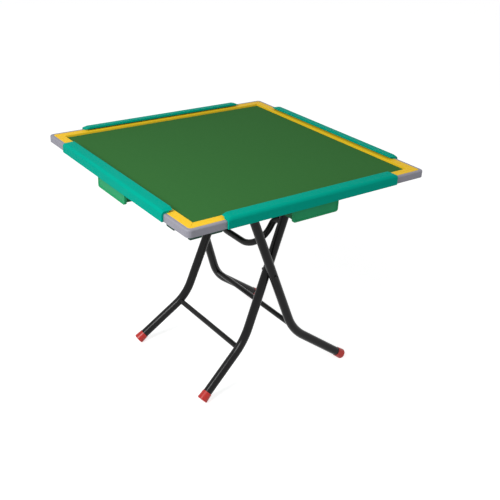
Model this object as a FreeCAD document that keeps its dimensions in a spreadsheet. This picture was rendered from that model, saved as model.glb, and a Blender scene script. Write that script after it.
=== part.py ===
import FreeCAD, Part
import math
import os

import Sketcher

# A square game table with a rimmed playing field, a small drawer in the middle of each side,
# and two pairs of crossed tube legs that fold flat: the leg tops slide in guides under the board.
# The origin lies on the floor under the centre of the top. X runs along the front side, Y from
# the front to the back, Z up.

os.makedirs("parts", exist_ok=True)
doc = FreeCAD.newDocument("game_table")
Vector = FreeCAD.Vector
Placement = FreeCAD.Placement
UP = Vector(0, 0, 1)
BACKWARD = Vector(0, 1, 0)

driving_sizes = {
    # board: playing field, the raised border round it and the panel under both
    "field_side": 776,
    "field_height": 745,
    "mat_thickness": 2,
    "border_width": 30,
    "border_rise": 6.5,
    "border_edge_radius": 1.5,
    "panel_thickness": 12,
    # edge rails and corner guards, which clip round the panel's edge
    "lip_thickness": 2,
    "lip_cover": 14,
    "rail_cover": 20,
    "rail_rise": 12,
    "rail_fall": 3,
    "rail_wall": 14,
    "rail_shoulder_radius": 10,
    "rail_crest_radius": 2.5,
    "rail_end_run": 13,
    "rail_end_drop": 7,
    "guard_arm": 119.5,
    "guard_wall": 8.5,
    "guard_corner_radius": 14,
    "guard_edge_radius": 4.5,
    "bumper_length": 38,
    "bumper_width": 14,
    "bumper_drop": 7,
    "bumper_radius": 4,
    "bumper_inset": 30,
    "bumper_corner_inset": 25.5,
    "bumper_edge_gap": 0.5,
    # drawers: a face, a hanging tray and the housing whose ledges carry the tray
    "face_width": 165,
    "face_height": 37,
    "face_thickness": 8,
    "face_setback": 9,
    "face_gap": 2,
    "face_border": 5,
    "face_recess": 1.5,
    "face_corner_radius": 8,
    "tray_inset": 6.5,
    "tray_depth": 30,
    "tray_wall": 2.5,
    "tray_drop": 4,
    "tray_flange": 6,
    "tray_flange_thickness": 3,
    "tray_side_gap": 1,
    "tray_rear_gap": 3,
    "running_gap": 0.3,
    "housing_wall": 3,
    "housing_flange": 14,
    "housing_front_gap": 2,
    "housing_guide_gap": 9,
    # guides and glides that carry the tops of the legs
    "guide_width": 40,
    "guide_depth": 20,
    "guide_sheet": 2,
    "guide_slot": 12,
    "guide_flange": 14,
    "guide_end_gap": 0.5,
    "inner_guide_inset": 55.3,
    "outer_guide_inset": 63.1,
    "glide_length": 50,
    "glide_side_gap": 0.5,
    "lug_thickness": 8,
    "lug_radius": 12,
    "pin_diameter": 8,
    "pin_head_diameter": 13,
    "pin_head_height": 3,
    "pin_head_gap": 1.6,
    "turning_fit": 0.05,
    # crossed legs: bent tubes, their cross tubes, foot caps and centre bolts
    "leg_diameter": 30,
    "brace_diameter": 18,
    "hoop_diameter": 22,
    "tube_wall": 1.5,
    "leg_bend_radius": 180,
    "leg_end_radius": 15.5,
    "leg_slot_width": 9,
    "leg_slot_depth": 14.5,
    "leg_half_angle": 20,
    "pin_drop": 52,
    "pivot_drop": 352.3,
    "pivot_offset": 34.9,
    "foot_axis_height": 15.8,
    "inner_pin_spread": 161,
    "inner_pivot_spread": 172,
    "inner_bend_height": 157.3,
    "inner_cross_height": 140,
    "inner_foot_reach": 262,
    "inner_foot_spread": 210,
    "outer_pin_spread": 176,
    "outer_pivot_spread": 206.2,
    "outer_bend_height": 172,
    "outer_cross_height": 187,
    "outer_foot_reach": 290,
    "outer_foot_spread": 255,
    "hoop_top_drop": 183,
    "hoop_shoulder_drop": 200,
    "hoop_bottom_drop": 296,
    "hoop_bottom_offset": 7.9,
    "hoop_bottom_length": 258,
    "hoop_radius": 88,
    "hoop_shoulder_radius": 22,
    "cap_wall": 1.2,
    "cap_flare": 2,
    "cap_length": 30,
    "cap_end": 6,
    "cap_edge_radius": 3,
    "cap_flat_depth": 1.2,
    "bolt_diameter": 8,
    "bolt_head_diameter": 12,
    "bolt_head_height": 2.5,
    "bolt_seat_gap": 1.1,
    "nut_width": 11,
    "nut_height": 4,
    "nut_seat_gap": 0.6,
    "spacer_diameter": 14,
    "spacer_seat_gap": 0.5,
    "spacer_thickness": 2.4,
    # pan-head wood screws
    "screw_diameter": 3.5,
    "screw_head_diameter": 7,
    "screw_head_height": 2.5,
    "screw_length": 8,
    "screw_tip_gap": 0.5,
    "screw_fit": 0.02,
    "guard_screw_inset": 70,
    "housing_screw_inset": 30,
    "guide_screw_inset": 30,
    "face_screw_spacing": 90,
    # how far a cut runs past the faces that it goes through
    "overrun": 5,
}

sheet = doc.addObject("Spreadsheet::Sheet", "sizes")
for row, (alias, number) in enumerate(driving_sizes.items(), start=1):
    sheet.set(f"A{row}", alias)
    sheet.set(f"B{row}", str(number))
    sheet.setAlias(f"B{row}", alias)
doc.recompute()


def value(expression):
    """The number that an expression of the sheet's sizes gives."""
    return float(sheet.evalExpression(expression))


# Heights and half widths that several pieces share, as expressions of the driving sizes
half_field = "sizes.field_side / 2"
half_panel = "(sizes.field_side / 2 + sizes.border_width)"
panel_top = "(sizes.field_height - sizes.mat_thickness)"
panel_bottom = f"({panel_top} - sizes.panel_thickness)"
border_top = "(sizes.field_height + sizes.border_rise)"
lip_bottom = f"({panel_bottom} - sizes.lip_thickness)"
lip_inner = f"({half_panel} - sizes.lip_cover)"
rail_outer = f"({half_panel} + sizes.rail_wall)"
guard_outer = f"({half_panel} + sizes.guard_wall)"
half_rail = f"({guard_outer} - sizes.guard_arm)"

SIDES = (("back", 0), ("left", 90), ("front", 180), ("right", 270))
CORNERS = (("back_right", 0), ("back_left", 90), ("front_left", 180), ("front_right", 270))
ENDS = (("front", -1), ("back", 1))
nodes = []


def turned(turn, right=0, outward=0, up=0):
    """A place given at the back side, carried round the table's axis to another side."""
    rotation = FreeCAD.Rotation(UP, turn)
    return Placement(rotation.multVec(Vector(right, outward, up)), rotation)


def keep(item, label):
    """Names a finished piece, whose label is its file's name."""
    item.Label = label
    nodes.append(item)
    return item


def outline(body, role, corners, lift="0"):
    """A closed sketch on one of the body's planes, with each corner held by two expressions."""
    sketch = body.newObject("Sketcher::SketchObject", "outline")
    plane = next(item for item in body.Origin.OriginFeatures if item.Role == role)
    sketch.AttachmentSupport = [(plane, "")]
    sketch.MapMode = "FlatFace"
    sketch.setExpression("AttachmentOffset.Base.z", lift)
    points = [Vector(value(across), value(along), 0) for across, along in corners]
    count = len(points)
    for index in range(count):
        sketch.addGeometry(Part.LineSegment(points[index], points[(index + 1) % count]), False)
    for index, expressions in enumerate(corners):
        sketch.addConstraint(Sketcher.Constraint("Coincident", index, 2, (index + 1) % count, 1))
        starts = (points[index].x, points[index].y)
        for kind, expression, start in zip(("DistanceX", "DistanceY"), expressions, starts):
            held = sketch.addConstraint(Sketcher.Constraint(kind, index, 1, start))
            sketch.setExpression(f"Constraints[{held}]", expression)
    return sketch


def pad(body, sketch, length, centred=False, backward=False):
    """Raises a sketch into a solid of the body."""
    item = body.newObject("PartDesign::Pad", "pad")
    item.Profile = sketch
    item.Midplane = centred
    item.Reversed = backward
    item.setExpression("Length", length)
    doc.recompute()
    return item


def pocket(body, sketch, depth, backward=False):
    """Cuts a sketch into the body, and makes sure that it did cut."""
    before = body.Shape.Volume
    item = body.newObject("PartDesign::Pocket", "pocket")
    item.Profile = sketch
    item.Reversed = backward
    item.setExpression("Length", depth)
    doc.recompute()
    if not body.Shape.Volume < before:
        raise ValueError(f"{body.Label}: a pocket cut nothing")
    return item


def near(number, expression):
    """Whether a coordinate lies on the plane that an expression gives."""
    return math.isclose(number, value(expression), abs_tol=value("sizes.running_gap") / 10)


def on(points, **planes):
    """Whether all the points lie on the planes given for their axes."""
    return all(near(getattr(point, axis), plane) for axis, plane in planes.items() for point in points)


def fillet(body, radius, chosen):
    """Rounds the edges of the body whose end points pass the test."""
    base = body.Tip
    names = []
    for number, edge in enumerate(base.Shape.Edges, start=1):
        if chosen([vertex.Point for vertex in edge.Vertexes]):
            names.append(f"Edge{number}")
    item = body.newObject("PartDesign::Fillet", "fillet")
    item.Base = (base, names)
    item.setExpression("Radius", radius)
    doc.recompute()
    return item


def box(name, low, high):
    """A block between two corners, both given as expressions."""
    item = doc.addObject("Part::Box", name)
    for size, start, end, axis in zip(("Length", "Width", "Height"), low, high, "xyz"):
        item.setExpression(size, f"{end} - ({start})")
        item.setExpression(f"Placement.Base.{axis}", start)
    return item


def cylinder(name, radius, height, start, axis=UP):
    """A round bar from a point, along an axis."""
    item = doc.addObject("Part::Cylinder", name)
    item.setExpression("Radius", radius)
    item.setExpression("Height", height)
    item.Placement = Placement(start, FreeCAD.Rotation(UP, axis))
    return item


def group(name, shapes):
    """Separate solids that share one piece of the document."""
    item = doc.addObject("Part::Feature", name)
    item.Shape = Part.makeCompound(shapes)
    return item


def cut(base, tool):
    item = doc.addObject("Part::Cut", "cut")
    item.Base = base
    item.Tool = tool
    return item


def fuse(*items):
    item = doc.addObject("Part::MultiFuse", "fuse")
    item.Shapes = list(items)
    item.Refine = True
    return item


def at_places(shape, places):
    return [shape.transformed(place.toMatrix()) for place in places]


# Pan-head wood screw, seated at its own origin with the shank up, and the hole that takes it
half_screw = "sizes.screw_diameter / 2"
screw_head_radius = "sizes.screw_head_diameter / 2"
screw = doc.addObject("PartDesign::Body", "screw")
screw_section = outline(screw, "XZ_Plane", (
    ("0", "-sizes.screw_head_height"),
    (half_screw, "-sizes.screw_head_height"),
    (screw_head_radius, "-sizes.screw_head_height / 2"),
    (screw_head_radius, "0"),
    (half_screw, "0"),
    (half_screw, "sizes.screw_length"),
    ("0", "sizes.screw_length"),
))
screw_turn = screw.newObject("PartDesign::Revolution", "turn")
screw_turn.Profile = screw_section
screw_turn.ReferenceAxis = (screw_section, ["V_Axis"])
screw_hole = cylinder(
    "screw_hole", f"{half_screw} + sizes.screw_fit", "sizes.screw_length + sizes.screw_tip_gap", Vector())
doc.recompute()

guard_screw_places = []
for name, turn in CORNERS:
    along = value(f"{half_rail} + sizes.guard_screw_inset")
    across = value(f"({lip_inner} + {half_panel}) / 2")
    guard_screw_places.append(turned(turn, along, across, value(lip_bottom)))
    guard_screw_places.append(turned(turn, across, along, value(lip_bottom)))

face_half = "(sizes.face_width / 2)"
tray_half = f"({face_half} - sizes.tray_inset)"
runner_inner = f"({tray_half} + sizes.tray_flange + sizes.tray_side_gap)"
runner_outer = f"({runner_inner} + sizes.housing_wall)"
face_front = f"({rail_outer} - sizes.face_setback)"
face_back = f"({face_front} - sizes.face_thickness)"
guide_side = "(sizes.outer_pin_spread + sizes.guide_width / 2 + sizes.guide_flange)"
housing_back = f"({guide_side} + sizes.housing_guide_gap)"
tray_back = f"({housing_back} + sizes.housing_wall + sizes.tray_rear_gap)"
housing_front = f"({lip_inner} - sizes.housing_front_gap)"
housing_screw_places = []
for name, turn in SIDES:
    across = value(f"{runner_outer} + sizes.housing_flange / 2")
    seat = value(f"{panel_bottom} - sizes.housing_wall")
    inset = value("sizes.housing_screw_inset")
    for outward in (value(housing_back) + inset, value(housing_front) - inset):
        for right in (-across, across):
            housing_screw_places.append(turned(turn, right, outward, seat))

# Places of the leg tops: the outer pair leans to the left, the inner pair to the right
pin_height = "(sizes.field_height - sizes.pin_drop)"
lean = "((sizes.pivot_drop - sizes.pin_drop) * tan(sizes.leg_half_angle * 1 deg))"
PAIRS = (("outer", -1), ("inner", 1))
pin_across = {pair: f"(sizes.pivot_offset + {heading} * {lean})" for pair, heading in PAIRS}
guide_start = "(sizes.glide_length / 2 + sizes.guide_end_gap + sizes.guide_sheet)"
guide_lengths = {}
guide_places = {}
guide_screw_places = []
for pair, heading in PAIRS:
    far_end = f"({lip_inner} - sizes.{pair}_guide_inset)"
    guide_lengths[pair] = f"({far_end} - {heading} * {pin_across[pair]} + {guide_start})"
    start = value(f"{pin_across[pair]} - {heading} * {guide_start}")
    for end, way in ENDS:
        spread = way * value(f"sizes.{pair}_pin_spread")
        facing = FreeCAD.Rotation(UP, -90 * heading)
        place = Placement(Vector(start, spread, value(panel_bottom)), facing)
        guide_places[pair, end] = place
        aside = value("(sizes.guide_width + sizes.guide_flange) / 2")
        inset = value("sizes.guide_screw_inset")
        for along in (inset, value(guide_lengths[pair]) - inset):
            for right in (-aside, aside):
                seat = Placement(Vector(right, along, -value("sizes.guide_sheet")), FreeCAD.Rotation())
                guide_screw_places.append(place * seat)

guard_holes = group("guard_holes", at_places(screw_hole.Shape, guard_screw_places))
housing_holes = group("housing_holes", at_places(screw_hole.Shape, housing_screw_places))
guide_holes = group("guide_holes", at_places(screw_hole.Shape, guide_screw_places))
for label, places in (
    ("guard_screws", guard_screw_places),
    ("housing_screws", housing_screw_places),
    ("guide_screws", guide_screw_places),
):
    keep(group(label, at_places(screw.Shape, places)), label)

# Panel with pilot holes from below, and the mat glued into its middle
panel = box(
    "panel",
    (f"-{half_panel}", f"-{half_panel}", panel_bottom),
    (half_panel, half_panel, panel_top))
panel_holes = group("panel_holes", [guard_holes.Shape, housing_holes.Shape, guide_holes.Shape])
keep(cut(panel, panel_holes), "top_panel")
mat = box(
    "mat",
    (f"-{half_field}", f"-{half_field}", panel_top),
    (half_field, half_field, "sizes.field_height"))
keep(mat, "playing_mat")

# Raised border: four mitred strips round the mat, with an eased inner edge
for name, turn in SIDES:
    strip = doc.addObject("PartDesign::Body", "border_strip")
    plan = outline(strip, "XY_Plane", (
        (f"-{half_field}", half_field),
        (half_field, half_field),
        (half_panel, half_panel),
        (f"-{half_panel}", half_panel),
    ), panel_top)
    pad(strip, plan, "sizes.mat_thickness + sizes.border_rise")
    fillet(strip, "sizes.border_edge_radius", lambda points: on(points, y=half_field, z=border_top))
    strip.Placement = turned(turn)
    keep(strip, f"{name}_border_strip")

# Edge rails: a hollow-backed rail on each side that lies on the border, wraps the panel's edge and
# tucks a lip under it; the crown falls outwards to a round shoulder, and the ends slope down
rail_top = f"({border_top} + sizes.rail_rise)"
rail_crest = f"({half_panel} - sizes.rail_cover)"
shoulder = f"({rail_top} - sizes.rail_fall)"
end_past = f"({half_rail} + sizes.overrun)"
end_low = f"({rail_top} - sizes.rail_end_drop * (1 + sizes.overrun / sizes.rail_end_run))"
for name, turn in SIDES:
    rail = doc.addObject("PartDesign::Body", "edge_rail")
    section = outline(rail, "YZ_Plane", (
        (rail_crest, border_top),
        (rail_crest, rail_top),
        (rail_outer, shoulder),
        (rail_outer, lip_bottom),
        (lip_inner, lip_bottom),
        (lip_inner, panel_bottom),
        (half_panel, panel_bottom),
        (half_panel, border_top),
    ))
    pad(rail, section, f"2 * {half_rail}", centred=True)
    for way in ("-", ""):
        slope = outline(rail, "XZ_Plane", (
            (f"{way}({half_rail} - sizes.rail_end_run)", rail_top),
            (f"{way}{end_past}", rail_top),
            (f"{way}{end_past}", end_low),
        ))
        pocket(rail, slope, f"{rail_outer} + sizes.overrun")
    for bend, plane in (("shoulder", rail_outer), ("crest", rail_crest)):
        fillet(rail, f"sizes.rail_{bend}_radius", lambda points: on(points, y=plane)
               and min(point.z for point in points) > value(border_top))
    rail.Placement = turned(turn)
    keep(rail, f"{name}_edge_rail")

# Corner guards: an angle round each corner, flush with the border, with the same lip below
for name, turn in CORNERS:
    guard = doc.addObject("PartDesign::Body", "corner_guard")
    plan = outline(guard, "XY_Plane", (
        (half_rail, lip_inner),
        (lip_inner, lip_inner),
        (lip_inner, half_rail),
        (guard_outer, half_rail),
        (guard_outer, guard_outer),
        (half_rail, guard_outer),
    ), lip_bottom)
    pad(guard, plan, f"{border_top} - {lip_bottom}")
    seat = outline(guard, "XY_Plane", (
        ("0", "0"),
        (half_panel, "0"),
        (half_panel, half_panel),
        ("0", half_panel),
    ), border_top)
    pocket(guard, seat, f"{border_top} - {panel_bottom}")
    fillet(guard, "sizes.guard_corner_radius", lambda points: on(points, x=guard_outer, y=guard_outer))
    fillet(guard, "sizes.guard_edge_radius", lambda points: on(points, z=border_top)
           and all(on([point], x=guard_outer) or on([point], y=guard_outer) for point in points))
    guard.Placement = turned(turn)
    keep(cut(guard, guard_holes), f"{name}_corner_guard")

# Bumper pads under two opposite guards, flush with their outer faces: one near the end of each arm
# and one beside the corner
bumper = doc.addObject("PartDesign::Body", "bumper")
half_bumper = ("sizes.bumper_length / 2", "sizes.bumper_width / 2")
bumper_plan = outline(bumper, "XY_Plane", (
    (f"-{half_bumper[0]}", f"-{half_bumper[1]}"),
    (half_bumper[0], f"-{half_bumper[1]}"),
    half_bumper,
    (f"-{half_bumper[0]}", half_bumper[1]),
))
pad(bumper, bumper_plan, "sizes.bumper_drop", backward=True)
fillet(bumper, "sizes.bumper_radius", lambda points: not on(points, z="0"))
bumper_places = []
for name, turn in CORNERS[::2]:
    edge = value(f"{guard_outer} - sizes.bumper_edge_gap - sizes.bumper_width / 2")
    arm = value(f"{half_rail} + sizes.bumper_inset")
    corner = value(f"{guard_outer} - sizes.bumper_corner_inset")
    bumper_places.append(turned(turn, arm, edge, value(lip_bottom)))
    bumper_places.append(turned(turn, corner, edge, value(lip_bottom)))
    bumper_places.append(turned(turn, edge, arm, value(lip_bottom))
                         * Placement(Vector(), FreeCAD.Rotation(UP, 90)))
keep(group("bumpers", at_places(bumper.Shape, bumper_places)), "bumper_pads")


def guide_pair(body, profile, length, closed_ends, plate, outer_half, depth):
    """Two mirrored runners along Y from the body's origin, joined by plates at the closed ends."""
    for way in ("", "-"):
        section = outline(body, "XZ_Plane", [(f"{way}{across}", up) for across, up in profile])
        pad(body, section, length, backward=True)
        if way == "":
            for lift in closed_ends:
                end = outline(body, "XZ_Plane", (
                    (f"-{outer_half}", f"-{depth}"),
                    (outer_half, f"-{depth}"),
                    (outer_half, "0"),
                    (f"-{outer_half}", "0"),
                ), lift)
                pad(body, end, plate, backward=True)


# Drawers: the housing's ledges carry the tray by its side flanges, and the face hangs a little
# lower than the tray as a finger pull; two screws from inside the tray hold the face
tray_top = f"({lip_bottom} - sizes.tray_drop)"
tray_bottom = f"({tray_top} - sizes.tray_depth)"
flange_bottom = f"({tray_top} - sizes.tray_flange_thickness)"
ledge_drop = f"({panel_bottom} - {flange_bottom} + sizes.running_gap)"
housing_drop = f"({ledge_drop} + sizes.housing_wall)"
ledge_inner = f"({tray_half} + sizes.tray_side_gap)"
flange_outer = f"({runner_outer} + sizes.housing_flange)"
face_top = f"({lip_bottom} - sizes.face_gap)"
face_bottom = f"({face_top} - sizes.face_height)"
face_screw_height = f"(({tray_top} + {tray_bottom}) / 2)"
for name, turn in SIDES:
    housing = doc.addObject("PartDesign::Body", "drawer_housing")
    guide_pair(housing, (
        (ledge_inner, f"-{housing_drop}"),
        (runner_outer, f"-{housing_drop}"),
        (runner_outer, "-sizes.housing_wall"),
        (flange_outer, "-sizes.housing_wall"),
        (flange_outer, "0"),
        (runner_inner, "0"),
        (runner_inner, f"-{ledge_drop}"),
        (ledge_inner, f"-{ledge_drop}"),
    ), f"{housing_front} - {housing_back}", ("0",), "sizes.housing_wall", runner_outer, housing_drop)
    housing.Placement = turned(turn, 0, value(housing_back), value(panel_bottom))
    keep(cut(housing, housing_holes), f"{name}_drawer_housing")

    screw_places = []
    for way in (-1, 1):
        right = way * value("sizes.face_screw_spacing / 2")
        seat = value(f"{face_back} - sizes.tray_wall")
        screw_places.append(Placement(Vector(right, seat, value(face_screw_height)),
                                      FreeCAD.Rotation(UP, BACKWARD)))
    face_holes = group("face_holes", at_places(screw_hole.Shape, screw_places))
    face_screws = group("face_screws", at_places(screw.Shape, screw_places))
    face_screws.Placement = turned(turn)
    keep(face_screws, f"{name}_drawer_screws")

    shell = box("tray_shell", (f"-{tray_half}", tray_back, tray_bottom), (tray_half, face_back, tray_top))
    flange_half = f"({tray_half} + sizes.tray_flange)"
    flanges = box("tray_flanges", (f"-{flange_half}", tray_back, flange_bottom),
                  (flange_half, face_back, tray_top))
    hollow = box(
        "tray_hollow",
        (f"-({tray_half} - sizes.tray_wall)", f"{tray_back} + sizes.tray_wall",
         f"{tray_bottom} + sizes.tray_wall"),
        (f"({tray_half} - sizes.tray_wall)", f"{face_back} - sizes.tray_wall", f"{tray_top} + sizes.overrun"))
    tray = cut(cut(fuse(shell, flanges), hollow), face_holes)
    tray.Placement = turned(turn)
    keep(tray, f"{name}_drawer_tray")

    face = doc.addObject("PartDesign::Body", "drawer_face")
    plan = outline(face, "XZ_Plane", (
        (f"-{face_half}", face_bottom),
        (face_half, face_bottom),
        (face_half, face_top),
        (f"-{face_half}", face_top),
    ), f"-{face_front}")
    pad(face, plan, "sizes.face_thickness")
    fillet(face, "sizes.face_corner_radius",
           lambda points: on(points, z=face_bottom) and points[0].x == points[-1].x)
    field = outline(face, "XZ_Plane", (
        (f"-({face_half} - sizes.face_border)", f"{face_bottom} + sizes.face_border"),
        (f"{face_half} - sizes.face_border", f"{face_bottom} + sizes.face_border"),
        (f"{face_half} - sizes.face_border", f"{face_top} - sizes.face_border"),
        (f"-({face_half} - sizes.face_border)", f"{face_top} - sizes.face_border"),
    ), f"-{face_front}")
    pocket(face, field, "sizes.face_recess", backward=True)
    drilled = cut(face, face_holes)
    drilled.Placement = turned(turn)
    keep(drilled, f"{name}_drawer_face")

# Guides: a bent steel channel for each leg top, screwed to the panel by its flanges
half_guide = "(sizes.guide_width / 2)"
for pair, heading in PAIRS:
    for end, way in ENDS:
        guide = doc.addObject("PartDesign::Body", "leg_guide")
        far_plate = f"-({guide_lengths[pair]} - sizes.guide_sheet)"
        guide_pair(guide, (
            ("sizes.guide_slot / 2", "-sizes.guide_depth"),
            (half_guide, "-sizes.guide_depth"),
            (half_guide, "-sizes.guide_sheet"),
            (f"({half_guide} + sizes.guide_flange)", "-sizes.guide_sheet"),
            (f"({half_guide} + sizes.guide_flange)", "0"),
            (f"({half_guide} - sizes.guide_sheet)", "0"),
            (f"({half_guide} - sizes.guide_sheet)", "-(sizes.guide_depth - sizes.guide_sheet)"),
            ("sizes.guide_slot / 2", "-(sizes.guide_depth - sizes.guide_sheet)"),
        ), guide_lengths[pair], ("0", far_plate), "sizes.guide_sheet", half_guide, "sizes.guide_depth")
        guide.Placement = guide_places[pair, end]
        keep(cut(guide, guide_holes), f"{pair}_guide_{end}")

# Glides: a plastic shoe that runs in each guide, with a lug through the slot for the leg's pin
pin_radius = "(sizes.pin_diameter / 2)"
half_leg = "(sizes.leg_diameter / 2)"
half_glide = "(sizes.glide_length / 2)"
half_shoe = "(sizes.guide_width / 2 - sizes.guide_sheet - sizes.glide_side_gap)"
half_lug = "(sizes.lug_thickness / 2)"
half_pin = f"({half_leg} + sizes.pin_head_gap)"
shoe_bottom = f"({panel_bottom} - sizes.guide_depth + sizes.guide_sheet + sizes.running_gap)"
for pair, heading in PAIRS:
    pins = []
    for end, way in ENDS:
        spread = f"{way} * sizes.{pair}_pin_spread"
        across = pin_across[pair]
        pin = Vector(value(across), value(spread), value(pin_height))
        shoe = box(
            "shoe",
            (f"{across} - {half_glide}", f"{spread} - {half_shoe}", shoe_bottom),
            (f"{across} + {half_glide}", f"{spread} + {half_shoe}", f"{panel_bottom} - sizes.running_gap"))
        lug = box(
            "lug",
            (f"{across} - sizes.lug_radius", f"{spread} - {half_lug}", pin_height),
            (f"{across} + sizes.lug_radius", f"{spread} + {half_lug}", f"{shoe_bottom} + sizes.running_gap"))
        eye = cylinder("eye", "sizes.lug_radius", "sizes.lug_thickness",
                       pin - BACKWARD * value(half_lug), BACKWARD)
        eye_hole = cylinder("eye_hole", f"{pin_radius} + sizes.screw_fit",
                            "sizes.lug_thickness + 2 * sizes.overrun",
                            pin - BACKWARD * value(f"{half_lug} + sizes.overrun"), BACKWARD)
        keep(cut(fuse(shoe, lug, eye), eye_hole), f"{pair}_glide_{end}")

        shank = cylinder("shank", pin_radius, f"2 * {half_pin}", pin - BACKWARD * value(half_pin), BACKWARD)
        heads = []
        for side in (-1, 1):
            seat = pin + BACKWARD * (side * value(half_pin))
            heads.append(cylinder("pin_head", "sizes.pin_head_diameter / 2", "sizes.pin_head_height",
                                  seat, BACKWARD * side))
        pins.append(fuse(shank, *heads))
    doc.recompute()
    keep(group("glide_pins", [item.Shape for item in pins]), f"{pair}_glide_pins")


def bent_path(points, radii):
    """A path of straight runs with a tangent arc of its own radius at each inner point."""
    edges = []
    start = points[0]
    for before, corner, after, radius in zip(points, points[1:], points[2:], radii):
        arriving = (corner - before).normalize()
        leaving = (after - corner).normalize()
        half_turn = arriving.getAngle(leaving) / 2
        reach = radius * math.tan(half_turn)
        inward = (leaving - arriving).normalize()
        middle = corner + inward * (radius / math.cos(half_turn) - radius)
        arc_start = corner - arriving * reach
        arc_end = corner + leaving * reach
        edges.append(Part.LineSegment(start, arc_start).toShape())
        edges.append(Part.Arc(arc_start, middle, arc_end).toShape())
        start = arc_end
    edges.append(Part.LineSegment(start, points[-1]).toShape())
    return Part.Wire(edges)


def bar(path, radius):
    """A solid round bar along a path."""
    first = path.Edges[0]
    ring = Part.Wire(Part.makeCircle(radius, first.Vertexes[0].Point, first.tangentAt(first.FirstParameter)))
    return path.makePipeShell([ring], True, False)


def straight_bar(start, axis, radius, length):
    return Part.makeCylinder(radius, length, start, axis)


def shaped(label, shape):
    """A piece whose shape is made from the sheet's sizes."""
    item = doc.addObject("Part::Feature", label)
    item.Shape = shape
    return keep(item, label)


# Legs: each pair is two tubes bent out below the crossing, slotted at the top for the glide's lug
# and drilled for the glide pin and the centre bolt; a cross tube joins the pair near the bends
leg_radius = value(half_leg)
leg_bore = value(f"{half_leg} - sizes.tube_wall")
brace_radius = value("sizes.brace_diameter / 2")
brace_bore = value("sizes.brace_diameter / 2 - sizes.tube_wall")
turning_fit = value("sizes.turning_fit")
pin_hole_radius = value(pin_radius) + turning_fit
end_radius = value("sizes.leg_end_radius")
slot_width = value("sizes.leg_slot_width")
slot_depth = value("sizes.leg_slot_depth")
overrun = value("sizes.overrun")
cap_rim_radius = leg_radius + value("sizes.cap_wall")
cap_radius = cap_rim_radius + value("sizes.cap_flare")
cap_edge = value("sizes.cap_edge_radius")
cap_length = value("sizes.cap_length")
cap_slope = value("sizes.cap_flare / sizes.cap_length")
# the circle on which the centre of the cap's rounded edge runs
lip_radius = cap_radius - cap_edge * (cap_slope + math.sqrt(1 + cap_slope ** 2))
pivot_height = value("sizes.field_height - sizes.pivot_drop")
bolt_radius = value("sizes.bolt_diameter / 2")
bolt_holes = {"outer": bolt_radius + value("sizes.screw_fit"), "inner": bolt_radius + turning_fit}
floor_reach = value("sizes.field_side")
under_floor = Part.makeBox(
    2 * floor_reach, 2 * floor_reach, floor_reach, Vector(-floor_reach, -floor_reach, -floor_reach))
leg_bars = {}
for pair, heading in PAIRS:
    cross_ends = []
    cross_level = Part.makePlane(
        2 * floor_reach, 2 * floor_reach,
        Vector(-floor_reach, -floor_reach, value(f"sizes.{pair}_cross_height")))
    for end, way in ENDS:
        pin = Vector(
            value(pin_across[pair]),
            way * value(f"sizes.{pair}_pin_spread"),
            value(pin_height))
        pivot = Vector(value("sizes.pivot_offset"), way * value(f"sizes.{pair}_pivot_spread"), pivot_height)
        bend_height = value(f"sizes.{pair}_bend_height")
        bend = pin + (pivot - pin) * ((pin.z - bend_height) / (pin.z - pivot.z))
        foot = Vector(
            pivot.x - heading * value(f"sizes.{pair}_foot_reach"),
            way * value(f"sizes.{pair}_foot_spread"),
            value("sizes.foot_axis_height"))
        rising = (pin - pivot).normalize()
        sinking = (foot - bend).normalize()
        # the cap's rounded end dips just under the floor, where it is cut flat
        steep = -sinking.z
        slant = math.sqrt(1 - steep ** 2)
        dip = foot.z + cap_edge * steep - lip_radius * slant - cap_edge
        cap_tip = foot + sinking * ((dip + value("sizes.cap_flat_depth")) / steep)
        tube_end = cap_tip - sinking * value("sizes.cap_end")

        top_end = pin + rising * end_radius
        path = bent_path([top_end, bend, tube_end], [value("sizes.leg_bend_radius")])
        cross_ends += path.section(cross_level).Vertexes
        whole = bar(path, leg_radius)
        leg_bars[pair, end] = whole
        leg = whole.cut(bar(path, leg_bore))
        # the fork: a slot for the lug, a round end about the pin, and the pin's hole
        square = 2 * cap_radius + overrun
        slot = Part.makeBox(2 * square, slot_depth + square, slot_width,
                            Vector(-square, -slot_depth, -slot_width / 2))
        crown = Part.makeBox(2 * square, square, 2 * square, Vector(-square, 0, -square))
        crown = crown.cut(Part.makeCylinder(end_radius, 2 * square, Vector(0, 0, -square)))
        upright = Vector(rising.x, 0, rising.z)
        for tool in (slot, crown):
            tool.Placement = Placement(pin, FreeCAD.Rotation(Vector(), upright, BACKWARD, "ZYX"))
            leg = leg.cut(tool)
        leg = leg.cut(straight_bar(pin - BACKWARD * square, BACKWARD, pin_hole_radius, 2 * square))
        leg = leg.cut(straight_bar(pivot - BACKWARD * square, BACKWARD, bolt_holes[pair], 2 * square))
        shaped(f"{pair}_leg_{end}", leg)

        cap_rim = cap_tip - sinking * cap_length
        cap = Part.makeCone(cap_rim_radius, cap_radius, cap_length, cap_rim, sinking)
        # a quarter turn puts the cone's seam at its side, clear of the flat
        cap.rotate(cap_rim, sinking, 90)
        tip_edges = [edge for edge in cap.Edges if edge.CenterOfMass.distanceToPoint(cap_tip) < cap_edge]
        cap = cap.makeFillet(cap_edge, tip_edges)
        bore_length = cap_length - value("sizes.cap_end")
        cap = cap.cut(straight_bar(cap_rim, sinking, leg_radius, bore_length))
        shaped(f"{pair}_foot_cap_{end}", cap.cut(under_floor))

    front_joint, back_joint = [vertex.Point for vertex in cross_ends]
    span = back_joint.y - front_joint.y
    cross = straight_bar(front_joint, BACKWARD, brace_radius, span)
    cross = cross.cut(straight_bar(front_joint, BACKWARD, brace_bore, span))
    for end, way in ENDS:
        cross = cross.cut(leg_bars[pair, end])
    shaped(f"{pair}_cross_tube", cross)

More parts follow.
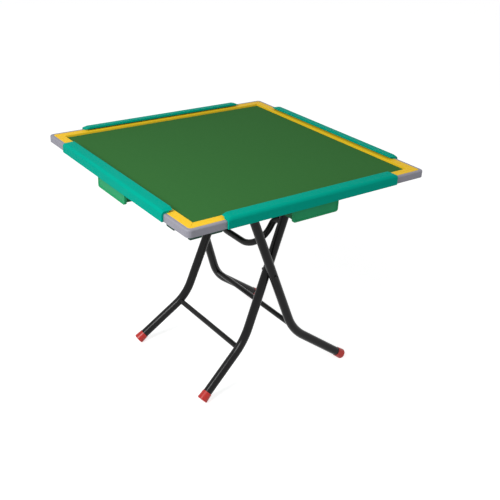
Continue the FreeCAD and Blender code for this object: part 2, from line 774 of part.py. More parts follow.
# Hoop: a U-bent tube between the inner legs above the crossing, whose ends turn out to meet the legs;
# it stays clear of the drawers when folded
share_down = value("(sizes.hoop_top_drop - sizes.pin_drop) / (sizes.pivot_drop - sizes.pin_drop)")
share_up = value("(sizes.hoop_bottom_drop - sizes.hoop_shoulder_drop)"
                 " / (sizes.hoop_bottom_drop - sizes.hoop_top_drop)")
hoop_points = []
for end, way in ENDS:
    pin_spread = value("sizes.inner_pin_spread")
    pivot_spread = value("sizes.inner_pivot_spread")
    root = Vector(
        value("sizes.pivot_offset") + value(lean) * (1 - share_down),
        way * (pin_spread + (pivot_spread - pin_spread) * share_down),
        value("sizes.field_height - sizes.hoop_top_drop"))
    low = Vector(
        value("sizes.pivot_offset - sizes.hoop_bottom_offset"),
        way * value("sizes.hoop_bottom_length / 2"),
        value("sizes.field_height - sizes.hoop_bottom_drop"))
    shoulder = low + (root - low) * share_up
    shoulder.y = low.y
    hoop_points.append([root, shoulder, low])
front_points, back_points = hoop_points
hoop_bends = [value("sizes.hoop_shoulder_radius"), value("sizes.hoop_radius")]
hoop_path = bent_path(front_points + back_points[::-1], hoop_bends + hoop_bends[::-1])
hoop_radius = value("sizes.hoop_diameter / 2")
hoop = bar(hoop_path, hoop_radius).cut(bar(hoop_path, hoop_radius - value("sizes.tube_wall")))
for end, way in ENDS:
    hoop = hoop.cut(leg_bars["inner", end])
shaped("hoop_brace", hoop)

# Centre bolts: a bolt with a spacer and a nut where the legs cross, on each side
inner_spread = value("sizes.inner_pivot_spread")
outer_spread = value("sizes.outer_pivot_spread")
head_seat = outer_spread + leg_radius + value("sizes.bolt_seat_gap")
nut_seat = inner_spread - leg_radius - value("sizes.nut_seat_gap")
spacer_seat = inner_spread + leg_radius + value("sizes.spacer_seat_gap")
nut_height = value("sizes.nut_height")
bolts = []
nuts = []
spacers = []
for end, way in ENDS:
    outwards = BACKWARD * way
    centre = Vector(value("sizes.pivot_offset"), 0, pivot_height)
    nut_end = centre + outwards * (nut_seat - nut_height)
    shank = straight_bar(nut_end, outwards, bolt_radius, head_seat - nut_seat + nut_height)
    head = straight_bar(centre + outwards * head_seat, outwards,
                        value("sizes.bolt_head_diameter / 2"), value("sizes.bolt_head_height"))
    bolts.append(shank.fuse(head).removeSplitter())
    corner_radius = value("sizes.nut_width / 2") / math.cos(math.pi / 6)
    hexagon = [
        Vector(corner_radius * math.cos(turn * math.pi / 3), 0, corner_radius * math.sin(turn * math.pi / 3))
        for turn in range(7)
    ]
    nut = Part.Face(Part.makePolygon([nut_end + corner for corner in hexagon])).extrude(outwards * nut_height)
    nuts.append(nut.cut(straight_bar(nut_end, outwards, bolt_holes["outer"], nut_height)))
    spacer_start = centre + outwards * spacer_seat
    thickness = value("sizes.spacer_thickness")
    spacer = straight_bar(spacer_start, outwards, value("sizes.spacer_diameter / 2"), thickness)
    spacers.append(spacer.cut(straight_bar(spacer_start, outwards, bolt_holes["outer"], thickness)))
for label, shapes in (("scissor_bolts", bolts), ("scissor_nuts", nuts), ("scissor_spacers", spacers)):
    keep(group(label, shapes), label)

doc.recompute()
for item in doc.Objects:
    if "Invalid" in item.State or "Error" in item.State:
        raise ValueError(f"{item.Label}: {item.State}")
for item in nodes:
    if item.Shape.isNull() or not item.Shape.isValid():
        raise ValueError(f"{item.Label}: no valid shape")
for item in nodes:
    item.Shape.exportStep(f"parts/{item.Label}.step")
print(len(nodes), "pieces")
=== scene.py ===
import math

import bmesh
import bpy
from mathutils import Matrix, Vector


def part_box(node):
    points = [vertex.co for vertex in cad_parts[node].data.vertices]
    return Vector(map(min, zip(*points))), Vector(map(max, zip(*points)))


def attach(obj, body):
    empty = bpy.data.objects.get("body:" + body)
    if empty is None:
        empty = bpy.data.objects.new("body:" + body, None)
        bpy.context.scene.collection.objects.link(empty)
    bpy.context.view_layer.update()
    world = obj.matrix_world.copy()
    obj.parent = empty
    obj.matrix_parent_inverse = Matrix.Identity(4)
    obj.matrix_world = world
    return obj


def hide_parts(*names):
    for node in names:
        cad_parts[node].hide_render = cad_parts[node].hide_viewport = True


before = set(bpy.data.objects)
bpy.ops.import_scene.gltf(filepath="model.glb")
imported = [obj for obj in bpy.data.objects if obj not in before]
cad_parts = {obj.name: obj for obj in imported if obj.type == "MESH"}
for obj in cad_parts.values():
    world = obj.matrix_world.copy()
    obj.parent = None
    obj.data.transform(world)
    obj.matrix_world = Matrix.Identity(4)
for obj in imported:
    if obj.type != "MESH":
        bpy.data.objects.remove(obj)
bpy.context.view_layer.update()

# Board: the square panel that carries everything else, pressed from wood fibre and sawn to size.
# Its underside and edges are sprayed with thin green paint, through which the fibres still show.
MM = 0.001
board_low, board_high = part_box("top_panel")


def linear(code):
    """The linear colour of an sRGB hex value."""
    channels = [int(code[start:start + 2], 16) / 255 for start in (1, 3, 5)]
    straight = [c / 12.92 if c <= 0.04045 else ((c + 0.055) / 1.055) ** 2.4 for c in channels]
    return (*straight, 1)


def add(tree, kind, feeds=None, **settings):
    """Adds a node with its settings; each input takes a value or another node's output."""
    item = tree.nodes.new(kind)
    for name, setting in settings.items():
        setattr(item, name, setting)
    for socket, feed in (feeds or {}).items():
        if isinstance(feed, bpy.types.NodeSocket):
            tree.links.new(feed, item.inputs[socket])
        else:
            item.inputs[socket].default_value = feed
    return item


def start_finish(name, constants):
    """A material with one shader that holds the constant settings, and its node tree."""
    material = bpy.data.materials.new(name)
    material.use_nodes = True
    tree = material.node_tree
    shader = tree.nodes["Principled BSDF"]
    for socket, setting in constants.items():
        shader.inputs[socket].default_value = setting
    return material, tree, shader


def dress(material, *nodes):
    """Gives carried-over pieces their finish."""
    for node in nodes:
        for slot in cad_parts[node].material_slots:
            slot.material = material


def painted_fibreboard():
    """Painted fibreboard: a dull green coat, mottled by the pressed fibres below it."""
    material, tree, shader = start_finish("painted_fibreboard", {"Specular IOR Level": 0.3})
    fibre_length = 6 * MM
    fibre_depth = 0.3 * MM
    mottle_width = 45 * MM
    place = add(tree, "ShaderNodeTexCoord").outputs["Object"]
    mottle = add(tree, "ShaderNodeTexNoise", {"Vector": place, "Scale": 1 / mottle_width, "Detail": 4})
    fibres = add(tree, "ShaderNodeTexVoronoi", {"Vector": place, "Scale": 1 / fibre_length})
    mixed = add(tree, "ShaderNodeMath", {0: mottle.outputs["Fac"], 1: fibres.outputs["Distance"]},
                operation="MULTIPLY")
    coat = add(tree, "ShaderNodeMixRGB", {
        "Fac": mixed.outputs[0], "Color1": linear("#1F5138"), "Color2": linear("#2F6E4C")})
    rough = add(tree, "ShaderNodeMapRange", {
        "Value": mottle.outputs["Fac"], "To Min": 0.5, "To Max": 0.75})
    relief = add(tree, "ShaderNodeBump", {
        "Height": fibres.outputs["Distance"], "Strength": 0.25, "Distance": fibre_depth})
    tree.links.new(coat.outputs[0], shader.inputs["Base Color"])
    tree.links.new(rough.outputs[0], shader.inputs["Roughness"])
    tree.links.new(relief.outputs[0], shader.inputs["Normal"])
    return material


dress(painted_fibreboard(), "top_panel")

# Playing mat: a square of pressed green felt, glued flat on the board inside the border. Its cut
# edge is rubbed down, which leaves a fine dark groove along the border.
mat_low, mat_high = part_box("playing_mat")
mat_edge = 1.4 * MM
SHARP = math.radians(40)
SAME_LEVEL = 0.01 * MM


def soften(mesh, edges, reach, segments):
    """Rounds edges, from that far before the corner to that far past it."""
    bmesh.ops.bevel(mesh, geom=edges, offset=reach, offset_type="OFFSET", segments=segments,
                    profile=0.5, affect="EDGES", material=-1, clamp_overlap=True, loop_slide=True)


def block(low, high):
    """A mesh of one block between two corners."""
    mesh = bmesh.new()
    bmesh.ops.create_cube(mesh, size=1)
    bmesh.ops.scale(mesh, vec=high - low, verts=mesh.verts)
    bmesh.ops.translate(mesh, vec=(low + high) / 2, verts=mesh.verts)
    return mesh


def on_plane(items, axis, level):
    """Those of the edges or faces whose corners all lie at one level of an axis."""
    return [item for item in items if all(abs(v.co[axis] - level) < SAME_LEVEL for v in item.verts)]


def piece(mesh, name, material, body, slot, *nodes):
    """Makes a finished mesh a piece that rides on its body and stands for its solids."""
    data = bpy.data.meshes.new(name)
    mesh.to_mesh(data)
    mesh.free()
    data.materials.append(material)
    data.shade_smooth()
    data.set_sharp_from_angle(angle=SHARP)
    item = bpy.data.objects.new(name, data)
    bpy.context.scene.collection.objects.link(item)
    item.modifiers.new("even_shading", "WEIGHTED_NORMAL").keep_sharp = True
    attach(item, body)
    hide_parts(*nodes)
    return item


def pressed_felt():
    """Pressed felt: short wool fibres brushed one way. It scatters light evenly, so it looks deep and
    flat, with faint flecks. The fibres are drawn coarser than real ones, so that they show."""
    material, tree, shader = start_finish("pressed_felt", {
        "Roughness": 0.95, "Specular IOR Level": 0.03, "Sheen Weight": 0.02, "Sheen Roughness": 0.6})
    fleck_length = 14 * MM
    fleck_width = 2.5 * MM
    fibre_width = 0.9 * MM
    fibre_depth = 0.4 * MM
    cloud_width = 160 * MM
    place = add(tree, "ShaderNodeTexCoord").outputs["Object"]
    brushed = add(tree, "ShaderNodeMapping", {
        "Vector": place, "Scale": (1 / fleck_length, 1 / fleck_width, 1 / fleck_width)})
    flecks = add(tree, "ShaderNodeTexNoise", {"Vector": brushed.outputs[0], "Scale": 1, "Detail": 3})
    fibres = add(tree, "ShaderNodeTexNoise", {
        "Vector": place, "Scale": 1 / fibre_width, "Detail": 4, "Roughness": 0.7})
    clouds = add(tree, "ShaderNodeTexNoise", {"Vector": place, "Scale": 1 / cloud_width, "Detail": 2})
    nap = add(tree, "ShaderNodeMixRGB", {
        "Fac": flecks.outputs["Fac"], "Color1": linear("#2F6633"), "Color2": linear("#3D7B3A")})
    fuzz = add(tree, "ShaderNodeMixRGB", {
        "Fac": fibres.outputs["Fac"], "Color1": linear("#2D6434"), "Color2": linear("#407D38")})
    cloth = add(tree, "ShaderNodeMixRGB", {
        "Fac": clouds.outputs["Fac"], "Color1": nap.outputs[0], "Color2": fuzz.outputs[0]})
    relief = add(tree, "ShaderNodeBump", {
        "Height": fibres.outputs["Fac"], "Strength": 0.35, "Distance": fibre_depth})
    tree.links.new(cloth.outputs[0], shader.inputs["Base Color"])
    tree.links.new(relief.outputs[0], shader.inputs["Normal"])
    return material


mesh = block(mat_low, mat_high)
soften(mesh, on_plane(mesh.edges, 2, mat_high.z), mat_edge, 4)
mat = piece(mesh, "felt_field", pressed_felt(), "table_top", "field_felt", "playing_mat")

# Border: four strips of yellow plastic round the mat, sawn to a mitre and glued to the board. Their
# inner edges are eased, the corners of the frame they make are round, and the mitres are fine lines.
SIDES = {"back": 0, "left": 90, "front": 180, "right": 270}
half_field = mat_high.y
half_board = board_high.y
strip_low, strip_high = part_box("back_border_strip")
strip_margin = 2 * MM
strip_outer = half_board - strip_margin
strip_corner = 9 * MM
strip_edge = 1.5 * MM
mitre_edge = 0.7 * MM
strip_grain = 1.2 * MM


def turn_round(mesh, turn):
    """Turns a mesh made at the back of the table to another side."""
    rotation = Matrix.Rotation(math.radians(turn), 3, "Z")
    bmesh.ops.rotate(mesh, verts=mesh.verts, cent=(0, 0, 0), matrix=rotation)


def saw(mesh, place, outward):
    """Cuts off what lies past a plane, and closes the cut."""
    whole = [*mesh.verts, *mesh.edges, *mesh.faces]
    cut = bmesh.ops.bisect_plane(mesh, geom=whole, plane_co=place, plane_no=outward, clear_outer=True)
    rim = [item for item in cut["geom_cut"] if isinstance(item, bmesh.types.BMEdge)]
    bmesh.ops.holes_fill(mesh, edges=rim)


def grow(mesh, faces, shift):
    """Extrudes joined faces along a shift, and gives the far ones, the one with most corners first."""
    grown = bmesh.ops.extrude_face_region(mesh, geom=faces)["geom"]
    ends = [item for item in grown if isinstance(item, bmesh.types.BMFace)]
    corners = [item for item in grown if isinstance(item, bmesh.types.BMVert)]
    bmesh.ops.translate(mesh, vec=shift, verts=corners)
    return sorted(ends, key=lambda end: -len(end.verts))


def drop(mesh, face):
    """Takes away a face that the mesh has grown past."""
    bmesh.ops.delete(mesh, geom=[face], context="FACES_ONLY")


def moulded_plastic(name, colour, shade, roughness, grain, constants=None):
    """Moulded plastic: an even colour with faint clouds, under a grain that breaks up the gloss."""
    material, tree, shader = start_finish(name, constants or {})
    cloud_width = 70 * MM
    pit_depth = 0.1 * grain
    gloss_spread = 0.08
    place = add(tree, "ShaderNodeTexCoord").outputs["Object"]
    clouds = add(tree, "ShaderNodeTexNoise", {"Vector": place, "Scale": 1 / cloud_width, "Detail": 3})
    pits = add(tree, "ShaderNodeTexNoise", {"Vector": place, "Scale": 1 / grain, "Detail": 2})
    tint = add(tree, "ShaderNodeMixRGB", {
        "Fac": clouds.outputs["Fac"], "Color1": linear(shade), "Color2": linear(colour)})
    gloss = add(tree, "ShaderNodeMapRange", {
        "Value": clouds.outputs["Fac"],
        "To Min": roughness - gloss_spread, "To Max": roughness + gloss_spread})
    relief = add(tree, "ShaderNodeBump", {
        "Height": pits.outputs["Fac"], "Strength": 0.15, "Distance": pit_depth})
    tree.links.new(tint.outputs[0], shader.inputs["Base Color"])
    tree.links.new(gloss.outputs[0], shader.inputs["Roughness"])
    tree.links.new(relief.outputs[0], shader.inputs["Normal"])
    return material


# Rigid vinyl, left dull by its mould, so that the yellow stays deep even at a low angle.
yellow_plastic = moulded_plastic("yellow_plastic", "#FFD02A", "#FBC92C", 0.5, strip_grain,
                                 {"Specular IOR Level": 0.08})
for side, turn in SIDES.items():
    mesh = block(Vector((-strip_outer, -strip_outer, strip_low.z)),
                 Vector((strip_outer, strip_outer, strip_high.z)))
    upright_edges = [edge for edge in mesh.edges if edge.verts[0].co.xy == edge.verts[1].co.xy]
    soften(mesh, upright_edges, strip_corner, 8)
    saw(mesh, (0, half_field, 0), (0, -1, 0))
    saw(mesh, (0, 0, 0), (1, -1, 0))
    saw(mesh, (0, 0, 0), (-1, -1, 0))
    top_edges = on_plane(mesh.edges, 2, strip_high.z)
    inner_edges = on_plane(top_edges, 1, half_field)
    soften(mesh, [edge for edge in top_edges if edge not in inner_edges], mitre_edge, 1)
    soften(mesh, on_plane(on_plane(mesh.edges, 2, strip_high.z), 1, half_field), strip_edge, 4)
    turn_round(mesh, turn)
    piece(mesh, f"{side}_border", yellow_plastic, "table_top", "yellow_plastic", f"{side}_border_strip")

# Edge rails: a soft teal plastic rail clipped over the board's edge in the middle of each side. It is
# extruded with a round shoulder, a lip that tucks under the board and a nose that hangs clear above
# the border, and cut with sloping ends.
rail_low, rail_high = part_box("back_edge_rail")
rail_end_gap = 0.8 * MM
rail_rise = 12 * MM
rail_fall = 3 * MM
lip_reach = 14 * MM
rail_end_run = 13 * MM
rail_end_drop = 5.5 * MM
nose_gap = 5.5 * MM
nose_reach = 12 * MM
half_rail = rail_high.x - rail_end_gap
rail_crest = rail_low.y
rail_outer = rail_high.y
rail_top = strip_high.z + rail_rise
rail_shoulder = rail_top - rail_fall
rail_lip = half_board - lip_reach
rail_end_top = rail_top - rail_end_drop
rail_nose = strip_high.z + nose_gap
rail_undercut = rail_crest + nose_reach
shoulder_reach = 9.2 * MM
crest_reach = 2.4 * MM
rail_edge = 0.8 * MM


def extruded_plastic():
    """Extruded soft plastic: a saturated teal with a satin skin, and faint streaks along the die."""
    material, tree, shader = start_finish("extruded_teal_plastic", {"Specular IOR Level": 0.02})
    streak_length = 180 * MM
    streak_width = 2.5 * MM
    streak_depth = 0.2 * MM
    cloud_width = 60 * MM
    along = add(tree, "ShaderNodeUVMap", uv_map="along").outputs["UV"]
    drawn = add(tree, "ShaderNodeMapping", {
        "Vector": along, "Scale": (1 / streak_length, 1 / streak_width, 1)})
    streaks = add(tree, "ShaderNodeTexNoise", {"Vector": drawn.outputs[0], "Scale": 1, "Detail": 3})
    place = add(tree, "ShaderNodeTexCoord").outputs["Object"]
    clouds = add(tree, "ShaderNodeTexNoise", {"Vector": place, "Scale": 1 / cloud_width, "Detail": 3})
    tint = add(tree, "ShaderNodeMixRGB", {
        "Fac": streaks.outputs["Fac"], "Color1": linear("#009E89"), "Color2": linear("#01AD97")})
    gloss = add(tree, "ShaderNodeMapRange", {
        "Value": clouds.outputs["Fac"], "To Min": 0.45, "To Max": 0.6})
    relief = add(tree, "ShaderNodeBump", {
        "Height": streaks.outputs["Fac"], "Strength": 0.12, "Distance": streak_depth})
    tree.links.new(tint.outputs[0], shader.inputs["Base Color"])
    tree.links.new(gloss.outputs[0], shader.inputs["Roughness"])
    tree.links.new(relief.outputs[0], shader.inputs["Normal"])
    return material


teal_plastic = extruded_plastic()
for side, turn in SIDES.items():
    mesh = bmesh.new()
    section = (
        (rail_undercut, strip_high.z), (rail_undercut, rail_nose),
        (rail_crest, rail_nose), (rail_crest, rail_top),
        (rail_outer, rail_shoulder), (rail_outer, rail_low.z),
        (rail_lip, rail_low.z), (rail_lip, board_low.z),
        (half_board, board_low.z), (half_board, strip_high.z),
    )
    end = mesh.faces.new([mesh.verts.new((-half_rail, outward, up)) for outward, up in section])
    slope_end = grow(mesh, [end], (rail_end_run, 0, 0))[0]
    slope_start = grow(mesh, [slope_end], (2 * (half_rail - rail_end_run), 0, 0))[0]
    grow(mesh, [slope_start], (rail_end_run, 0, 0))
    drop(mesh, slope_end)
    drop(mesh, slope_start)
    bmesh.ops.recalc_face_normals(mesh, faces=mesh.faces)
    for corner in mesh.verts:
        if abs(corner.co.x) > half_rail - rail_edge and corner.co.z > rail_end_top:
            corner.co.z = rail_end_top
    for plane, reach, segments in ((rail_outer, shoulder_reach, 6), (rail_crest, crest_reach, 3)):
        above_nose = [edge for edge in on_plane(mesh.edges, 1, plane)
                      if min(v.co.z for v in edge.verts) > rail_nose + rail_edge]
        long_edges = [edge for edge in above_nose
                      if abs(edge.verts[0].co.x - edge.verts[1].co.x) > rail_edge]
        soften(mesh, long_edges, reach, segments)
    for end_plane in (-half_rail, half_rail):
        soften(mesh, on_plane(mesh.edges, 0, end_plane), rail_edge, 2)
    uv = mesh.loops.layers.uv.new("along")
    for face in mesh.faces:
        for loop in face.loops:
            loop[uv].uv = (loop.vert.co.x, loop.vert.co.y - loop.vert.co.z)
    turn_round(mesh, turn)
    piece(mesh, f"{side}_rail", teal_plastic, "table_top", "teal_plastic", f"{side}_edge_rail")

# Corner guards: a moulded grey plastic angle round each corner, flush with the border, with a lip
# below that two screws hold to the board. The outer corner and the top edge are round.
CORNERS = {"back_right": 0, "back_left": 90, "front_left": 180, "front_right": 270}
guard_low, guard_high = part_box("back_right_corner_guard")
guard_outer = guard_high.x
guard_start = guard_low.x
guard_corner = 14 * MM
guard_edge = 4.5 * MM
guard_foot = 1 * MM
guard_grain = 1 * MM
nearly_flat = math.radians(1)

# Moulded ABS with a fine grain, which gives the grey a soft, broad shine.
grey_plastic = moulded_plastic("grey_plastic", "#9C9BA6", "#8F8E98", 0.55, guard_grain,
                               {"Specular IOR Level": 0.3})
for corner_name, turn in CORNERS.items():
    mesh = bmesh.new()
    section = (
        (rail_lip, guard_low.z), (guard_outer, guard_low.z),
        (guard_outer, guard_high.z), (strip_outer, guard_high.z),
        (strip_outer, board_high.z), (half_board, board_high.z),
        (half_board, board_low.z), (rail_lip, board_low.z),
    )
    end = mesh.faces.new([mesh.verts.new((across, guard_start, up)) for across, up in section])
    mitre = grow(mesh, [end], (0, 0, 0))[0]
    for corner in mitre.verts:
        corner.co.y = corner.co.x
    for corner in grow(mesh, [mitre], (0, 0, 0))[0].verts:
        corner.co.x = guard_start
    drop(mesh, mitre)
    bmesh.ops.recalc_face_normals(mesh, faces=mesh.faces)
    bmesh.ops.dissolve_limit(mesh, angle_limit=nearly_flat, verts=mesh.verts, edges=mesh.edges)
    for plane, reach in ((guard_outer, guard_corner), (strip_outer, strip_corner)):
        soften(mesh, on_plane(on_plane(mesh.edges, 0, plane), 1, plane), reach, 8)
    for level, reach, segments in ((guard_high.z, guard_edge, 5), (guard_low.z, guard_foot, 2)):
        rim = [edge for edge in on_plane(mesh.edges, 2, level)
               if all(max(v.co.x, v.co.y) > half_board + guard_foot for v in edge.verts)]
        soften(mesh, rim, reach, segments)
    seam = [edge for edge in on_plane(mesh.edges, 2, guard_high.z)
            if all(max(v.co.x, v.co.y) < strip_outer + guard_foot for v in edge.verts)]
    soften(mesh, seam, mitre_edge, 1)
    turn_round(mesh, turn)
    piece(mesh, f"{corner_name}_guard", grey_plastic, "table_top", "grey_plastic",
          f"{corner_name}_corner_guard")

# Bumper pads: pads of moulded rubber, glued under the lips of two opposite guards, that keep a folded
# table off the wall and the floor. Rubber is dull, so they show as a dark green edge.
pad_grain = 2 * MM
dark_rubber = moulded_plastic("dark_rubber", "#24493C", "#1B3A30", 0.7, pad_grain,
                              {"Specular IOR Level": 0.3})
dress(dark_rubber, "bumper_pads")

# Drawer housings: two ledges with a back plate, moulded in dark green plastic and screwed under the
# board in the middle of each side. The tray hangs on the ledges by its flanges.
housing_grain = 1 * MM
housing_plastic = moulded_plastic("housing_plastic", "#1F6B49", "#1A5C3F", 0.5, housing_grain)
dress(housing_plastic, *[f"{side}_drawer_housing" for side in SIDES])

# Drawers: a moulded green tray, open at the top, with a flange on each side that slides on the
# housing's ledges, and a face with a raised border, which two screws from inside the tray hold.
tray_low, tray_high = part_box("back_drawer_tray")
tray_flange = 6 * MM
tray_flange_thickness = 3 * MM
tray_wall = 2.5 * MM
half_tray = tray_high.x - tray_flange
inner_half = half_tray - tray_wall
flange_low = tray_high.z - tray_flange_thickness
face_low, face_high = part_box("back_drawer_face")
face_corner = 8 * MM
face_border = 5 * MM
face_recess = 1.5 * MM
face_draft = 0.5 * MM
face_edge = 1.2 * MM
drawer_grain = 1 * MM

# Moulded polypropylene: waxy rather than glossy. The trays are a darker green than the faces: painted
# shade.
tray_plastic_painted_shade = moulded_plastic("tray_plastic_painted_shade", "#186D42", "#14633A", 0.5, drawer_grain,
                               {"Specular IOR Level": 0.12})
face_plastic = moulded_plastic("face_plastic", "#2FA56E", "#289963", 0.45, drawer_grain,
                               {"Specular IOR Level": 0.06})
for side, turn in SIDES.items():
    mesh = bmesh.new()
    right_side = (
        (half_tray, tray_low.z), (half_tray, flange_low),
        (tray_high.x, flange_low), (tray_high.x, tray_high.z),
        (inner_half, tray_high.z), (inner_half, tray_low.z + tray_wall),
    )
    left_side = [(-across, up) for across, up in reversed(right_side)]
    ring = [mesh.verts.new((across, tray_low.y, up)) for across, up in (*right_side, *left_side)]
    right_rim, right_floor, left_floor, left_rim = ring[4:8]
    wall = mesh.faces.new(ring)
    inside = mesh.faces.new((right_rim, left_rim, left_floor, right_floor))
    back_wall = grow(mesh, [wall, inside], (0, tray_wall, 0))[0]
    front_wall = grow(mesh, [back_wall], (0, tray_high.y - tray_low.y - 2 * tray_wall, 0))[0]
    drop(mesh, back_wall)
    rim = [corner for corner in front_wall.verts if abs(corner.co.x) < half_tray - tray_wall / 2]
    rim.sort(key=lambda corner: math.atan2(corner.co.z - flange_low, corner.co.x))
    inside = mesh.faces.new(rim)
    grow(mesh, [front_wall, inside], (0, tray_wall, 0))
    drop(mesh, front_wall)
    bmesh.ops.recalc_face_normals(mesh, faces=mesh.faces)
    turn_round(mesh, turn)
    piece(mesh, f"{side}_tray", tray_plastic_painted_shade, f"{side}_drawer", "drawer_tray_plastic",
          f"{side}_drawer_tray")

    mesh = block(face_low, face_high)
    lower_corners = [edge for edge in on_plane(mesh.edges, 2, face_low.z)
                     if edge.verts[0].co.x * edge.verts[1].co.x > 0]
    soften(mesh, lower_corners, face_corner, 6)
    front = on_plane(mesh.faces, 1, face_high.y)
    rim = list(front[0].edges)
    bmesh.ops.inset_region(mesh, faces=front, thickness=face_border, use_even_offset=True)
    bmesh.ops.inset_region(mesh, faces=front, thickness=face_draft, depth=-face_recess,
                           use_even_offset=True)
    soften(mesh, rim, face_edge, 3)
    turn_round(mesh, turn)
    piece(mesh, f"{side}_face", face_plastic, f"{side}_drawer", "drawer_face_plastic",
          f"{side}_drawer_face")

# Steelwork under the board: guides bent from zinc-plated sheet in which the leg tops slide, the
# pins through the leg tops, and the wood screws.
PAIRS = ("outer", "inner")
ENDS = ("front", "back")


def zinc_plate():
    """Zinc-plated steel: a pale bluish metal with a soft shine, clouded by the plating bath."""
    material, tree, shader = start_finish("zinc_plate", {"Metallic": 1})
    spangle_width = 9 * MM
    scratch_length = 30 * MM
    scratch_width = 0.8 * MM
    place = add(tree, "ShaderNodeTexCoord").outputs["Object"]
    spangle = add(tree, "ShaderNodeTexVoronoi", {"Vector": place, "Scale": 1 / spangle_width})
    rolled = add(tree, "ShaderNodeMapping", {
        "Vector": place, "Scale": (1 / scratch_length, 1 / scratch_width, 1 / scratch_width)})
    scratches = add(tree, "ShaderNodeTexNoise", {"Vector": rolled.outputs[0], "Scale": 1, "Detail": 2})
    tint = add(tree, "ShaderNodeMixRGB", {
        "Fac": spangle.outputs["Distance"], "Color1": linear("#A9AEB4"), "Color2": linear("#C6CACD")})
    gloss = add(tree, "ShaderNodeMapRange", {
        "Value": scratches.outputs["Fac"], "To Min": 0.28, "To Max": 0.5})
    tree.links.new(tint.outputs[0], shader.inputs["Base Color"])
    tree.links.new(gloss.outputs[0], shader.inputs["Roughness"])
    return material


zinc = zinc_plate()
dress(zinc, "guard_screws", "housing_screws", "guide_screws")
dress(zinc, *[f"{side}_drawer_screws" for side in SIDES])
dress(zinc, *[f"{pair}_glide_pins" for pair in PAIRS])
dress(zinc, *[f"{pair}_guide_{end}" for pair in PAIRS for end in ENDS])

# Glides and spacers: shoes of pale nylon that run in the guides and hold the leg tops, and washers
# of the same nylon between the crossing legs. Nylon lets a little light in, so it looks waxy.
nylon_grain = 1 * MM
nylon = moulded_plastic("nylon", "#E2DFD2", "#D5D1C2", 0.5, nylon_grain, {"Subsurface Weight": 0.1})
dress(nylon, "scissor_spacers", *[f"{pair}_glide_{end}" for pair in PAIRS for end in ENDS])


# Legs: two crossed pairs of steel tube, bent out below the crossing. A cross tube is welded between
# each pair near the bends and a hoop between the inner legs, and bolts join the pairs where they cross.
# All of it is dipped in black enamel and baked.
def black_enamel():
    """Baked black enamel: a deep gloss with a slight orange peel, which draws long soft streaks."""
    material, tree, shader = start_finish("black_enamel", {"IOR": 1.5, "Specular IOR Level": 0.16})
    peel_width = 3 * MM
    peel_depth = 0.2 * MM
    cloud_width = 50 * MM
    place = add(tree, "ShaderNodeTexCoord").outputs["Object"]
    peel = add(tree, "ShaderNodeTexNoise", {"Vector": place, "Scale": 1 / peel_width, "Detail": 1})
    clouds = add(tree, "ShaderNodeTexNoise", {"Vector": place, "Scale": 1 / cloud_width, "Detail": 3})
    tint = add(tree, "ShaderNodeMixRGB", {
        "Fac": clouds.outputs["Fac"], "Color1": linear("#161516"), "Color2": linear("#1F1E1F")})
    gloss = add(tree, "ShaderNodeMapRange", {
        "Value": clouds.outputs["Fac"], "To Min": 0.12, "To Max": 0.22})
    relief = add(tree, "ShaderNodeBump", {
        "Height": peel.outputs["Fac"], "Strength": 0.08, "Distance": peel_depth})
    tree.links.new(tint.outputs[0], shader.inputs["Base Color"])
    tree.links.new(gloss.outputs[0], shader.inputs["Roughness"])
    tree.links.new(relief.outputs[0], shader.inputs["Normal"])
    return material


enamel = black_enamel()
dress(enamel, "hoop_brace", "scissor_bolts", "scissor_nuts", *[f"{pair}_cross_tube" for pair in PAIRS])
dress(enamel, *[f"{pair}_leg_{end}" for pair in PAIRS for end in ENDS])

# Foot caps: cups of moulded red rubber, pushed over the leg ends. They flare towards the floor and are
# worn flat where they stand on it. The rubber is smooth, so it holds a soft spot of light.
cap_grain = 1.5 * MM
red_rubber = moulded_plastic("red_rubber", "#CF332D", "#C22B26", 0.3, cap_grain,
                             {"Specular IOR Level": 0.35})
dress(red_rubber, *[f"{pair}_foot_cap_{end}" for pair in PAIRS for end in ENDS])

# Studio: a floor of pale paper that takes the table's shadow and shows white to the eye, and a white
# room, whose light comes evenly from all sides.
floor_half = 40.0
floor_colour = linear("#D8D8D8")
floor_glow = 0.74
room_light = 0.37


def seen_by_eye(tree):
    """One for rays that reach the eye straight, mirrored or through glass, and otherwise nought."""
    rays = add(tree, "ShaderNodeLightPath")
    mirrored = add(tree, "ShaderNodeMath", {
        0: rays.outputs["Is Camera Ray"], 1: rays.outputs["Is Glossy Ray"]}, operation="ADD")
    seen = add(tree, "ShaderNodeMath", {
        0: mirrored.outputs[0], 1: rays.outputs["Is Transmission Ray"]}, operation="ADD", use_clamp=True)
    return seen.outputs[0]


mesh = bmesh.new()
bmesh.ops.create_grid(mesh, x_segments=1, y_segments=1, size=floor_half)
data = bpy.data.meshes.new("floor")
mesh.to_mesh(data)
mesh.free()
floor = bpy.data.objects.new("floor", data)
bpy.context.scene.collection.objects.link(floor)
paper = bpy.data.materials.new("white_paper")
paper.use_nodes = True
tree = paper.node_tree
tree.nodes.clear()
matt = add(tree, "ShaderNodeBsdfDiffuse", {"Color": floor_colour})
strength = add(tree, "ShaderNodeMath", {0: seen_by_eye(tree), 1: floor_glow}, operation="MULTIPLY")
glow = add(tree, "ShaderNodeEmission", {"Strength": strength.outputs[0]})
both = add(tree, "ShaderNodeAddShader", {0: matt.outputs[0], 1: glow.outputs[0]})
add(tree, "ShaderNodeOutputMaterial", {"Surface": both.outputs[0]})
data.materials.append(paper)

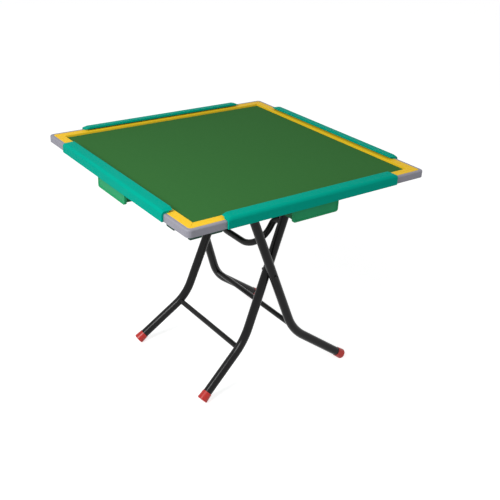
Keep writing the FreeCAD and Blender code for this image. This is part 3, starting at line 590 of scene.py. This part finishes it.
room = bpy.data.worlds.new("white_room")
bpy.context.scene.world = room
room.use_nodes = True
tree = room.node_tree
tree.nodes.clear()
strength = add(tree, "ShaderNodeMapRange", {
    "Value": seen_by_eye(tree), "To Min": room_light, "To Max": 1})
sky = add(tree, "ShaderNodeBackground", {"Color": (1, 1, 1, 1), "Strength": strength.outputs[0]})
add(tree, "ShaderNodeOutputWorld", {"Surface": sky.outputs[0]})

# Lamps: a strong soft box on the left, which makes the left side the bright one and draws the streaks on
# the legs, and a weak one in front. Both point at the middle of the top.
top_centre = Vector((0, 0, mat_high.z))
for name, place, size, power in (
    ("left_soft_box", (-2.15, -0.6, 2.3), 1.2, 55),
    ("front_soft_box", (1.4, -2.6, 2.2), 1.6, 8),
):
    lamp = bpy.data.lights.new(name, "AREA")
    lamp.size = size
    lamp.energy = power
    stand = bpy.data.objects.new(name, lamp)
    stand.location = place
    stand.rotation_euler = (top_centre - Vector(place)).to_track_quat("-Z", "Y").to_euler()
    bpy.context.scene.collection.objects.link(stand)

# Camera: looks over the near left corner, a little tilted, as the photograph was taken. Its place is
# measured from the middle of the top.
azimuth = math.radians(-37.208)
elevation = math.radians(26.733)
roll = math.radians(2.771)
distance = 2.49517
aside = 0.05988
lower = -0.30518
focal_pixels = 788.26
image_pixels = 500
backward = Vector((math.sin(azimuth) * math.cos(elevation), -math.cos(azimuth) * math.cos(elevation),
                   math.sin(elevation)))
level_right = Vector((math.cos(azimuth), math.sin(azimuth), 0))
level_up = backward.cross(level_right)
right = math.cos(roll) * level_right + math.sin(roll) * level_up
up = math.cos(roll) * level_up - math.sin(roll) * level_right
eye = bpy.data.cameras.new("eye")
eye.lens = eye.sensor_width * focal_pixels / image_pixels
camera = bpy.data.objects.new("eye", eye)
bpy.context.scene.collection.objects.link(camera)
turned_eye = Matrix((right, up, backward)).transposed().to_4x4()
camera.matrix_world = Matrix.Translation(
    top_centre + backward * distance + right * aside + up * lower) @ turned_eye
bpy.context.scene.camera = camera
bpy.context.scene.view_settings.view_transform = "Standard"
